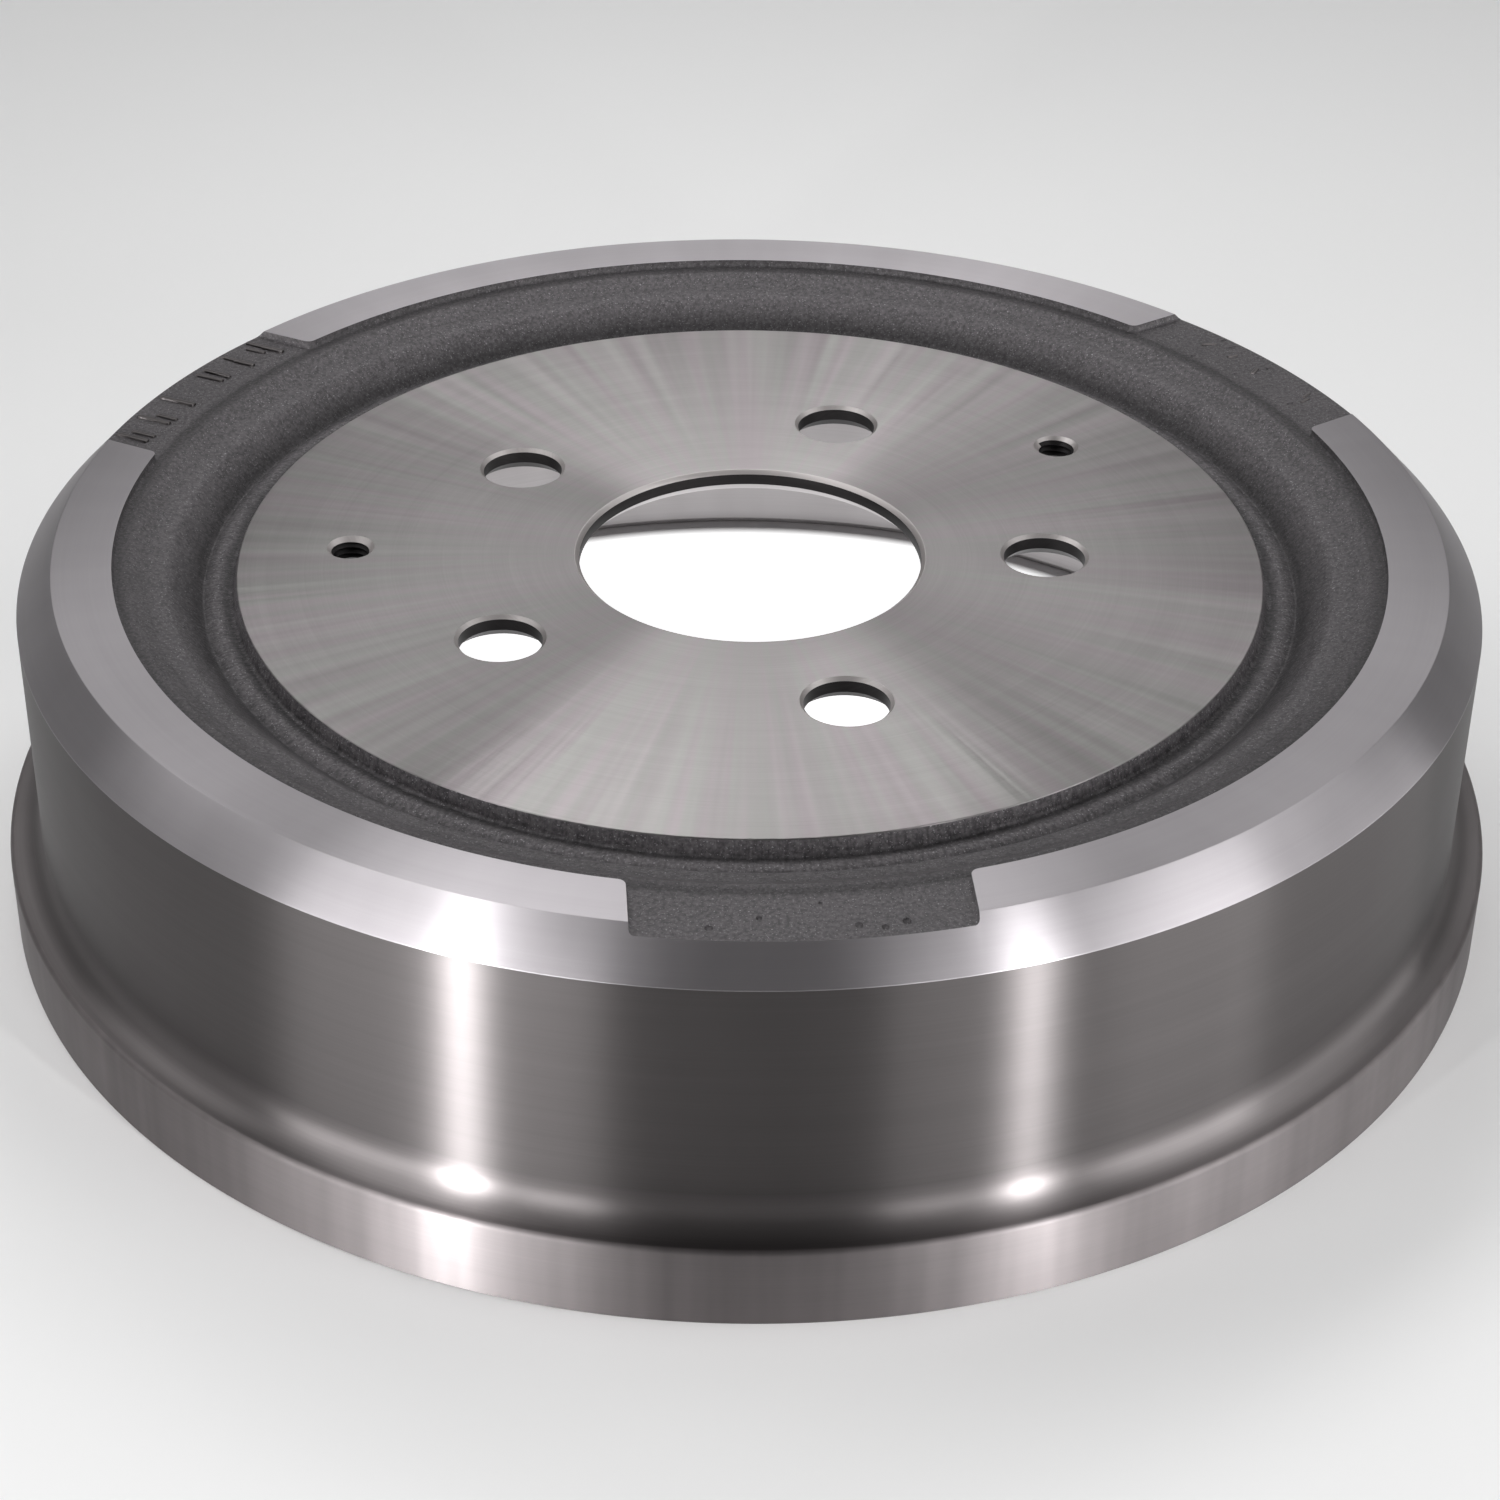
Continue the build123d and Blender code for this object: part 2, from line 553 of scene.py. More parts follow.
@dataclass
class PadGaps:
    """The cutter that leaves the cast ledge and the three cast pads below the turned shoulder."""

    sizes: DrumSizes
    arc_steps: int = 96
    over: float = 6.0
    corner_segments: int = 5

    def build(self) -> bpy.types.Object:
        """Draws the plan, a disc with three arms, and raises it.

        Returns:
            The closed cutter.
        """
        s = self.sizes
        half = s.pad_width / 2
        outer = s.rim_radius + self.over
        root = math.sqrt(s.shoulder_inner ** 2 - half ** 2)
        half_angle = math.degrees(math.asin(half / s.shoulder_inner))
        sector = 360 / s.pad_count

        def in_arm(angle: float, along: float, across: float) -> Vector:
            """Places a point of an arm of the plan.

            Args:
                angle: where the arm points, in degrees.
                along: how far along the arm, in millimetres.
                across: how far to its left, in millimetres.

            Returns:
                The point, in metres.
            """
            flat = Matrix.Rotation(math.radians(angle), 3, "Z") @ Vector((along, across, 0))
            return Vector((flat.x, flat.y, s.cast_height)) * MM

        roots = []
        at = in_arm(s.pad_phase, outer, half)
        piece = start_point("pad_gaps", at)
        for angle in s.pad_angles:
            roots += [in_arm(angle, root, half), in_arm(angle + sector, root, -half)]
            extrude_to(in_arm(angle, root, half) - in_arm(angle, outer, half))
            bpy.ops.mesh.spin(
                steps=self.arc_steps,
                angle=-math.radians(sector - 2 * half_angle),
                center=(0, 0, s.cast_height * MM),
                axis=(0, 0, 1),
            )
            extrude_to(in_arm(angle + sector, outer, -half) - in_arm(angle + sector, root, -half))
            extrude_to(in_arm(angle + sector, outer, half) - in_arm(angle + sector, outer, -half))
        bpy.ops.mesh.select_all(action="SELECT")
        bpy.ops.mesh.remove_doubles(threshold=10 * MERGE)
        turn = math.radians(90 - half_angle)
        for place in roots:
            round_point(place, s.pad_corner * math.tan(turn / 2) * MM, self.corner_segments)
        bpy.ops.mesh.select_all(action="SELECT")
        bpy.ops.mesh.edge_face_add()
        extrude_to(Vector((0, 0, self.over * MM)))
        edit(piece, "EDGE")
        bottom = s.cast_height * MM
        pick("edges", lambda middle: abs(middle.z - bottom) < MERGE)
        bpy.ops.mesh.bevel(offset=s.pad_foot * MM, segments=3, affect="EDGES")
        clean_shell(piece)
        return piece


@dataclass
class WebHoles:
    """The cutter for the stud holes and the jacking holes, chamfered at both ends."""

    sizes: DrumSizes
    steps: int = 72
    over: float = 1.0

    def section(self, radius: float, front: float, back: float) -> list[Corner]:
        """Section of one hole's cutter.

        Args:
            radius: the hole's radius.
            front: its chamfer on the hub face.
            back: its chamfer on the seat.

        Returns:
            Corners from the axis round to the axis.
        """
        s = self.sizes
        return [
            Corner(0, s.seat - self.over),
            Corner(radius + back + self.over, s.seat - self.over),
            Corner(radius, s.seat + back),
            Corner(radius, s.hub_face - front),
            Corner(radius + front + self.over, s.hub_face + self.over),
            Corner(0, s.hub_face + self.over),
        ]

    def build(self) -> bpy.types.Object:
        """Turns one cutter of each size and copies it round.

        Returns:
            All the cutters as one object.
        """
        s = self.sizes
        stud_section = self.section(s.stud_radius, s.stud_front, s.stud_back)
        jack_section = self.section(s.jack_radius, s.jack_front, s.jack_back)
        stud = turn_section("stud_hole", stud_section, self.steps, s.stud_circle)
        jack = turn_section("jack_hole", jack_section, self.steps, s.jack_circle)
        tools = [turned_copy(stud, index * 360 / s.stud_count) for index in range(s.stud_count)]
        tools += [turned_copy(jack, angle) for angle in s.jack_angles]
        for original in (stud, jack):
            bpy.data.objects.remove(original, do_unlink=True)
        return join(tools)


@dataclass
class JackThread:
    """The M8 thread of a jacking hole, as the helix that is cut out of its wall."""

    sizes: DrumSizes
    crest_radius: float = 4.02
    pitch: float = 1.25
    steps: int = 40
    over: float = 1.6
    inset: float = 0.02

    def build(self) -> bpy.types.Object:
        """Draws one tooth, winds it up the hole with a Screw modifier and copies it to both holes.

        Returns:
            Both helices as one object.
        """
        s = self.sizes
        low = s.seat - self.over
        turns = math.ceil((s.hub_face + self.over - low) / self.pitch)
        tooth = [
            Vector((s.jack_radius - self.inset, 0, low)) * MM,
            Vector((self.crest_radius, 0, low + self.pitch / 2)) * MM,
            Vector((s.jack_radius - self.inset, 0, low + self.pitch)) * MM,
        ]
        piece = start_point("jack_thread", tooth[0])
        for before, here in zip(tooth, tooth[1:]):
            extrude_to(here - before)
        make_active(piece)
        modifier = piece.modifiers.new("wind", "SCREW")
        modifier.axis = "Z"
        modifier.angle = FULL_TURN
        modifier.screw_offset = self.pitch * MM
        modifier.iterations = turns
        modifier.steps = modifier.render_steps = self.steps
        bpy.ops.object.modifier_apply(modifier=modifier.name)
        edit(piece)
        bpy.ops.mesh.select_all(action="SELECT")
        bpy.ops.mesh.remove_doubles(threshold=MERGE)
        bpy.ops.mesh.select_all(action="DESELECT")
        bpy.ops.mesh.select_non_manifold()
        bpy.ops.mesh.fill()
        clean_shell(piece)
        piece.location.x = s.jack_circle * MM
        make_active(piece)
        bpy.ops.object.transform_apply(location=True, rotation=True, scale=True)
        tools = [turned_copy(piece, angle) for angle in s.jack_angles]
        bpy.data.objects.remove(piece, do_unlink=True)
        return join(tools)


@dataclass(frozen=True)
class RaisedBar:
    """A small raised bar on a pad's floor, in millimetres from the axis and across the pad."""

    start: tuple[float, float]
    end: tuple[float, float]
    width: float = 0.9
    rise: float = 0.4


@dataclass
class FoundryMarks:
    """Plain raised bars that the mould leaves on two pads, and small pits on two.

    Both fields bars and pits have one entry for each pad. A pit is its place along and across its pad
    and its radius.
    """

    sizes: DrumSizes
    sink: float = 0.5
    bevel: float = 0.26
    lump: float = 0.7
    jitter: float = 0.16
    pit_shape: tuple[float, float, float] = (1.3, 0.9, 0.7)
    bars: tuple[tuple[RaisedBar, ...], ...] = (
        (
            RaisedBar((127.4, 15.6), (129.8, 14.4), 0.7, 0.3),
            RaisedBar((128.2, 7.9), (129.9, 7.6), 0.8, 0.32),
            RaisedBar((127.5, -0.5), (129.2, 0.3), 1.0, 0.3),
            RaisedBar((130.9, -14.4), (128.9, -14.9), 0.6, 0.34),
            RaisedBar((127.2, -16.4), (128.9, -16.1), 0.8, 0.3),
        ),
        (
            RaisedBar((131.3, -24.2), (127.4, -24.1), 1.1, 0.46),
            RaisedBar((126.9, -24.0), (123.2, -24.1), 1.3, 0.55),
            RaisedBar((129.8, -21.8), (126.2, -21.9), 1.0, 0.42),
            RaisedBar((132.1, -16.1), (129.0, -15.9), 1.0, 0.46),
            RaisedBar((128.6, -15.8), (125.0, -15.8), 1.2, 0.54),
            RaisedBar((131.9, -9.1), (128.7, -9.0), 1.1, 0.5),
            RaisedBar((128.2, -9.1), (126.4, -8.9), 1.2, 0.44),
            RaisedBar((132.2, -6.6), (126.6, -6.7), 1.0, 0.5),
            RaisedBar((132.8, 5.4), (129.6, 5.4), 1.1, 0.5),
            RaisedBar((129.1, 5.3), (125.7, 5.2), 1.3, 0.54),
            RaisedBar((131.9, 14.6), (129.2, 14.5), 1.1, 0.46),
            RaisedBar((128.6, 14.6), (125.3, 14.5), 1.1, 0.54),
            RaisedBar((128.9, 12.3), (125.0, 12.3), 1.1, 0.42),
            RaisedBar((131.1, 23.0), (128.2, 22.9), 1.1, 0.46),
            RaisedBar((127.7, 22.9), (124.9, 23.0), 1.2, 0.52),
            RaisedBar((129.2, 20.7), (124.7, 20.6), 1.0, 0.44),
        ),
        (),
    )
    pits: tuple[tuple[tuple[float, float, float], ...], ...] = (
        (
            (132.6, 14.8, 0.55),
            (131.9, 11.2, 0.8),
            (124.0, 1.2, 0.6),
            (131.8, -0.9, 0.7),
            (124.6, -15.6, 0.7),
            (122.2, 12.6, 0.5),
        ),
        (),
        (
            (130.2, -15.3, 0.8),
            (127.9, -7.1, 0.6),
            (130.6, 8.8, 0.75),
            (131.4, 13.0, 0.7),
            (129.9, 16.6, 0.8),
            (124.4, 3.1, 0.45),
        ),
    )

    def on_pad(self, shape: bpy.types.Object, pad: int) -> bpy.types.Object:
        """Turns a shape from the X axis to its pad.

        Args:
            shape: the shape, at its place on a pad that points along X.
            pad: the pad's number.

        Returns:
            The same shape.
        """
        make_active(shape)
        shape.rotation_euler.z = math.radians(self.sizes.pad_angles[pad])
        bpy.ops.object.transform_apply(location=True, rotation=True, scale=True)
        return shape

    def bar(self, pad: int, mark: RaisedBar, seed: int) -> bpy.types.Object:
        """Models one raised bar with a lumpy top.

        Args:
            pad: the pad's number.
            mark: the bar's place and sizes.
            seed: which way its lumps go.

        Returns:
            A block with rounded edges that reaches into the pad's floor.
        """
        deselect_everything()
        start, end = Vector(mark.start), Vector(mark.end)
        tall = mark.rise + self.sink
        bpy.ops.mesh.primitive_cube_add(size=1, location=(0, 0, 0))
        block = bpy.context.active_object
        block.scale = Vector(((end - start).length + mark.width, mark.width, tall)) * MM
        bpy.ops.object.transform_apply(location=True, rotation=True, scale=True)
        edit(block, "EDGE")
        pick("edges", lambda middle: middle.z > -0.1 * tall * MM)
        bpy.ops.mesh.bevel(offset=self.bevel * MM, segments=3, affect="EDGES")
        pick("edges", lambda middle: abs(middle.x) < 0.1 * mark.width * MM)
        bpy.ops.mesh.subdivide(number_cuts=max(2, round((end - start).length / self.lump)))
        pick("verts", lambda at: at.z > 0)
        bpy.ops.transform.vertex_random(offset=self.jitter * MM, uniform=0.6, seed=seed)
        make_active(block)
        way = end - start
        middle = (start + end) / 2
        block.rotation_euler.z = math.atan2(way.y, way.x)
        bpy.ops.object.transform_apply(location=True, rotation=True, scale=True)
        height = self.sizes.cast_height + mark.rise - tall / 2
        block.location = Vector((middle.x, middle.y, height)) * MM
        bpy.ops.object.transform_apply(location=True, rotation=True, scale=True)
        return self.on_pad(block, pad)

    def raised(self) -> bpy.types.Object:
        """Models all the bars and melts those that touch into one another.

        Returns:
            The bars as one object.
        """
        places = [(pad, mark) for pad, marks in enumerate(self.bars) for mark in marks]
        blocks = [self.bar(pad, mark, seed) for seed, (pad, mark) in enumerate(places)]
        whole = blocks[0]
        for block in blocks[1:]:
            combine(whole, block, "UNION")
        return whole

    def sunk(self) -> bpy.types.Object:
        """Models the pits' cutters.

        Returns:
            Small flattened balls on the pads' floors, as one object.
        """
        balls = []
        for pad, places in enumerate(self.pits):
            for along, across, size in places:
                deselect_everything()
                bpy.ops.mesh.primitive_ico_sphere_add(subdivisions=3, radius=size * MM, location=(0, 0, 0))
                ball = bpy.context.active_object
                ball.scale = self.pit_shape
                ball.location = Vector((along, across, self.sizes.cast_height + 0.1 * size)) * MM
                bpy.ops.object.transform_apply(location=True, rotation=True, scale=True)
                balls.append(self.on_pad(ball, pad))
        return join(balls)


# Shader groups


class NodeSheet:
    """Short ways to add and link nodes in one tree."""

    def __init__(self, tree: bpy.types.NodeTree) -> None:
        """Starts on a tree.

        Args:
            tree: the material's tree or the group that is filled.
        """
        self.tree = tree

    def add(self, kind: str, **values: object) -> bpy.types.Node:
        """Adds a node.

        Args:
            kind: the node's type without its ShaderNode prefix.
            **values: its properties, and in_NAME for the sockets that get a value or a link.

        Returns:
            The node.
        """
        node = self.tree.nodes.new("ShaderNode" + kind)
        for name, value in values.items():
            if not name.startswith("in_"):
                setattr(node, name, value)
        for name, value in values.items():
            if name.startswith("in_"):
                key = name[3:]
                socket = node.inputs[int(key)] if key.isdigit() else node.inputs[key.replace("_", " ")]
                self.feed(socket, value)
        return node

    def feed(self, socket: bpy.types.NodeSocket, value: object) -> None:
        """Gives a socket a constant or a link.

        Args:
            socket: the input.
            value: a number, a colour, or another node's output.
        """
        if isinstance(value, bpy.types.NodeSocket):
            self.tree.links.new(value, socket)
        else:
            socket.default_value = value

    def maths(self, operation: str, *values: object) -> bpy.types.NodeSocket:
        """Adds a Math node.

        Args:
            operation: its operation.
            *values: its inputs.

        Returns:
            Its result.
        """
        node = self.tree.nodes.new("ShaderNodeMath")
        node.operation = operation
        for socket, value in zip(node.inputs, values):
            self.feed(socket, value)
        return node.outputs[0]

    def noise(
        self, vector: bpy.types.NodeSocket, scale: float, detail: float = 2.0, rough: float = 0.5
    ) -> bpy.types.NodeSocket:
        """Adds a Noise Texture.

        Args:
            vector: its coordinates.
            scale: its scale.
            detail: its octaves.
            rough: its roughness.

        Returns:
            Its value, from 0 to 1 around 0.5.
        """
        node = self.add("TexNoise", in_Vector=vector, in_Scale=scale, in_Detail=detail, in_Roughness=rough)
        return node.outputs["Fac"]

    def remap(
        self, value: bpy.types.NodeSocket, low: float, high: float, to_low: float, to_high: float
    ) -> bpy.types.NodeSocket:
        """Adds a Map Range node that clamps.

        Args:
            value: what is mapped.
            low: the value that becomes to_low.
            high: the value that becomes to_high.
            to_low: the lowest result.
            to_high: the highest result.

        Returns:
            The mapped value.
        """
        node = self.tree.nodes.new("ShaderNodeMapRange")
        for socket, given in zip(node.inputs, (value, low, high, to_low, to_high)):
            self.feed(socket, given)
        return node.outputs[0]

    def mix(self, factor: object, first: object, second: object, blend: str = "MIX") -> bpy.types.NodeSocket:
        """Adds a colour Mix node.

        Args:
            factor: how much of the second colour.
            first: the first colour.
            second: the second colour.
            blend: the blending mode.

        Returns:
            The mixed colour.
        """
        node = self.tree.nodes.new("ShaderNodeMix")
        node.data_type = "RGBA"
        node.blend_type = blend
        colours = [socket for socket in node.inputs if socket.type == "RGBA"]
        self.feed(node.inputs[0], factor)
        self.feed(colours[0], first)
        self.feed(colours[1], second)
        return next(socket for socket in node.outputs if socket.type == "RGBA")


def new_group(
    name: str, inputs: dict[str, tuple[str, object]], outputs: dict[str, str]
) -> tuple[NodeSheet, bpy.types.Node, bpy.types.Node]:
    """Makes an empty shader group with named sockets.

    Args:
        name: the group's name.
        inputs: each input's kind and its value at the start.
        outputs: each output's kind.

    Returns:
        The group's sheet, its input node and its output node.
    """
    tree = bpy.data.node_groups.new(name, "ShaderNodeTree")
    for label, (kind, value) in inputs.items():
        socket = tree.interface.new_socket(label, in_out="INPUT", socket_type="NodeSocket" + kind)
        if value is not None:
            socket.default_value = value
    for label, kind in outputs.items():
        tree.interface.new_socket(label, in_out="OUTPUT", socket_type="NodeSocket" + kind)
    return NodeSheet(tree), tree.nodes.new("NodeGroupInput"), tree.nodes.new("NodeGroupOutput")


# Frequencies per metre
BAND_SCALE = 260.0
RAY_DRIFT = 9.0
TURNED_PATCHES = 22.0

# Where the rays start and where they are full, in metres from the axis
RAY_START = 0.035
RAY_FULL = 0.09

# What sets the tint's noise apart from the rays'
TINT_SHIFT = (7.3, 2.1, 4.7)


def turning_marks() -> bpy.types.NodeTree:
    """Builds the marks that a lathe leaves: fine lines and broad bands round the axis, and rays across them.

    Returns:
        A group that puts out the lines, rays, bands, tint and patches, each from 0 to 1 around 0.5.
    """
    sheet, given, result = new_group(
        "turning_marks",
        {"Vector": ("Vector", None), "Line Scale": ("Float", 2500.0), "Ray Scale": ("Float", 14.0)},
        {"Lines": "Float", "Rays": "Float", "Bands": "Float", "Tint": "Float", "Patches": "Float"},
    )
    vector = given.outputs["Vector"]
    parts = sheet.add("SeparateXYZ", in_Vector=vector)
    flat = sheet.add("CombineXYZ", in_X=parts.outputs[0], in_Y=parts.outputs[1])
    radius = sheet.add("VectorMath", operation="LENGTH", in_0=flat.outputs[0]).outputs["Value"]
    around = sheet.add("VectorMath", operation="NORMALIZE", in_0=flat.outputs[0]).outputs["Vector"]
    across = sheet.maths("SUBTRACT", radius, parts.outputs[2])
    spokes = sheet.add("SeparateXYZ", in_Vector=around)
    fine = sheet.maths("MULTIPLY", across, given.outputs["Line Scale"])
    line_place = sheet.add("CombineXYZ", in_X=spokes.outputs[0], in_Y=spokes.outputs[1], in_Z=fine)
    lines = sheet.noise(line_place.outputs[0], 1.0, 2.0, 0.6)
    slow = sheet.maths("MULTIPLY", across, BAND_SCALE)
    band_place = sheet.add("CombineXYZ", in_X=spokes.outputs[0], in_Y=spokes.outputs[1], in_Z=slow)
    bands = sheet.noise(band_place.outputs[0], 1.0, 3.0, 0.6)
    ray_scale = sheet.add("VectorMath", operation="SCALE", in_0=around)
    sheet.feed(ray_scale.inputs["Scale"], given.outputs["Ray Scale"])
    ray_parts = sheet.add("SeparateXYZ", in_Vector=ray_scale.outputs[0])
    drift = sheet.maths("MULTIPLY", across, RAY_DRIFT)
    ray_place = sheet.add("CombineXYZ", in_X=ray_parts.outputs[0], in_Y=ray_parts.outputs[1], in_Z=drift)
    rays = sheet.noise(ray_place.outputs[0], 1.0, 1.5, 0.55)
    fade = sheet.remap(radius, RAY_START, RAY_FULL, 0.0, 1.0)
    rays = sheet.maths("MULTIPLY_ADD", sheet.maths("SUBTRACT", rays, 0.5), fade, 0.5)
    tint_place = sheet.add("VectorMath", operation="ADD", in_0=ray_place.outputs[0], in_1=TINT_SHIFT)
    tint = sheet.noise(tint_place.outputs["Vector"], 1.3, 1.0, 0.5)
    patches = sheet.noise(vector, TURNED_PATCHES, 3.0, 0.55)
    outputs = {"Lines": lines, "Rays": rays, "Bands": bands, "Tint": tint, "Patches": patches}
    for label, value in outputs.items():
        sheet.feed(result.inputs[label], value)
    return sheet.tree


# The cast skin's shade at each radius, in millimetres. It is painted on and was set against the
# photograph: the studio's light alone leaves the hub's wall too dark, and its foot and the valley too light.
PAINTED_SHADING = (
    (98.0, 1.9), (99.3, 1.8), (99.8, 0.95), (100.5, 0.46), (101.2, 0.56), (102.0, 0.9),
    (102.7, 1.08), (103.7, 1.08), (104.5, 0.9), (105.4, 0.55), (106.4, 0.46), (107.6, 0.62),
    (109.2, 0.8), (110.6, 0.92), (112.2, 0.98), (114.2, 0.92), (115.4, 0.84), (116.8, 0.9),
    (118.3, 0.86), (119.4, 0.74), (120.4, 0.56), (121.3, 0.54), (122.0, 0.85), (123.0, 1.0),
)

# Frequencies per metre
LUMP_SCALE = 420.0
BROAD_SCALE = 120.0
SPECK_SCALE = 2900.0
CAST_PATCHES = 60.0
COMB_ROUND = 190.0
COMB_OUTWARD = 330.0

# How far the hollows' borders wander, in metres
WANDER = 0.0014


def cast_grain() -> bpy.types.NodeTree:
    """Builds the grain of an as-cast skin: granules, lumps, wrinkles beside the hub wall and bright specks.

    Returns:
        A group that puts out a height, a tone, two masks, and the skin's painted light and shade at each
        radius, darkest in its hollows.
    """
    sheet, given, result = new_group(
        "cast_grain",
        {
            "Vector": ("Vector", None),
            "Grain Scale": ("Float", 1300.0),
            "Wrinkle Radius": ("Float", 0.1025),
            "Wrinkle Width": ("Float", 0.0065),
        },
        {"Height": "Float", "Tone": "Float", "Specks": "Float", "Patches": "Float", "Painted Shading": "Float"},
    )
    vector = given.outputs["Vector"]
    fine = sheet.noise(vector, 1.0, 3.0, 0.6)
    sheet.feed(fine.node.inputs["Scale"], given.outputs["Grain Scale"])
    lumps = sheet.noise(vector, LUMP_SCALE, 2.0, 0.5)
    broad = sheet.noise(vector, BROAD_SCALE, 2.0, 0.5)
    parts = sheet.add("SeparateXYZ", in_Vector=vector)
    flat = sheet.add("CombineXYZ", in_X=parts.outputs[0], in_Y=parts.outputs[1])
    radius = sheet.add("VectorMath", operation="LENGTH", in_0=flat.outputs[0]).outputs["Value"]
    around = sheet.add("VectorMath", operation="NORMALIZE", in_0=flat.outputs[0]).outputs["Vector"]
    comb_round = (COMB_ROUND, COMB_ROUND, 0.0)
    spread = sheet.add("VectorMath", operation="MULTIPLY", in_0=around, in_1=comb_round)
    spokes = sheet.add("SeparateXYZ", in_Vector=spread.outputs["Vector"])
    outward = sheet.maths("MULTIPLY", radius, COMB_OUTWARD)
    comb_place = sheet.add("CombineXYZ", in_X=spokes.outputs[0], in_Y=spokes.outputs[1], in_Z=outward)
    comb = sheet.maths("SUBTRACT", sheet.noise(comb_place.outputs[0], 1.0, 1.0, 0.5), 0.5)
    off = sheet.maths("ABSOLUTE", sheet.maths("SUBTRACT", radius, given.outputs["Wrinkle Radius"]))
    near = sheet.remap(sheet.maths("DIVIDE", off, given.outputs["Wrinkle Width"]), 0.4, 1.0, 1.0, 0.0)
    wrinkles = sheet.maths("MULTIPLY", comb, near)
    height = sheet.maths("MULTIPLY_ADD", lumps, 0.9, fine)
    height = sheet.maths("MULTIPLY_ADD", broad, 0.8, height)
    height = sheet.maths("MULTIPLY_ADD", wrinkles, 1.2, height)
    tone = sheet.maths("MULTIPLY_ADD", wrinkles, 0.45, fine)
    specks = sheet.remap(sheet.noise(vector, SPECK_SCALE, 1.0, 0.5), 0.64, 0.74, 0.0, 1.0)
    patches = sheet.noise(vector, CAST_PATCHES, 3.0, 0.6)
    # Painted light and shade by radius: the ramp lightens the hub's wall and darkens its foot, the valley and
    # the ledge under the shoulder.
    wander = sheet.maths("MULTIPLY_ADD", sheet.maths("SUBTRACT", lumps, 0.5), WANDER, radius)
    span = (PAINTED_SHADING[0][0] * MM, PAINTED_SHADING[-1][0] * MM)
    ramp = sheet.add("ValToRGB", in_Fac=sheet.remap(wander, *span, 0.0, 1.0))
    stops = ramp.color_ramp.elements
    for index, (at, level) in enumerate(PAINTED_SHADING):
        if 0 < index < len(PAINTED_SHADING) - 1:
            stops.new((at * MM - span[0]) / (span[1] - span[0]))
        stops[index].color = (level, level, level, 1)
    hollows = ramp.outputs["Color"]
    outputs = {"Height": height, "Tone": tone, "Specks": specks, "Patches": patches, "Painted Shading": hollows}
    for label, value in outputs.items():
        sheet.feed(result.inputs[label], value)
    return sheet.tree


@dataclass(frozen=True)
class ShaderGroups:
    """The groups that several materials share."""

    marks: bpy.types.NodeTree
    grain: bpy.types.NodeTree


def empty_material(name: str) -> tuple[bpy.types.Material, NodeSheet, bpy.types.Node]:
    """Makes a material with one Principled BSDF.

    Args:
        name: the material's name.

    Returns:
        The material, its sheet and the shader.
    """
    material = bpy.data.materials.new(name)
    material.use_nodes = True
    tree = material.node_tree
    tree.nodes.clear()
    sheet = NodeSheet(tree)
    output = sheet.add("OutputMaterial")
    shader = sheet.add("BsdfPrincipled")
    tree.links.new(shader.outputs[0], output.inputs["Surface"])
    return material, sheet, shader


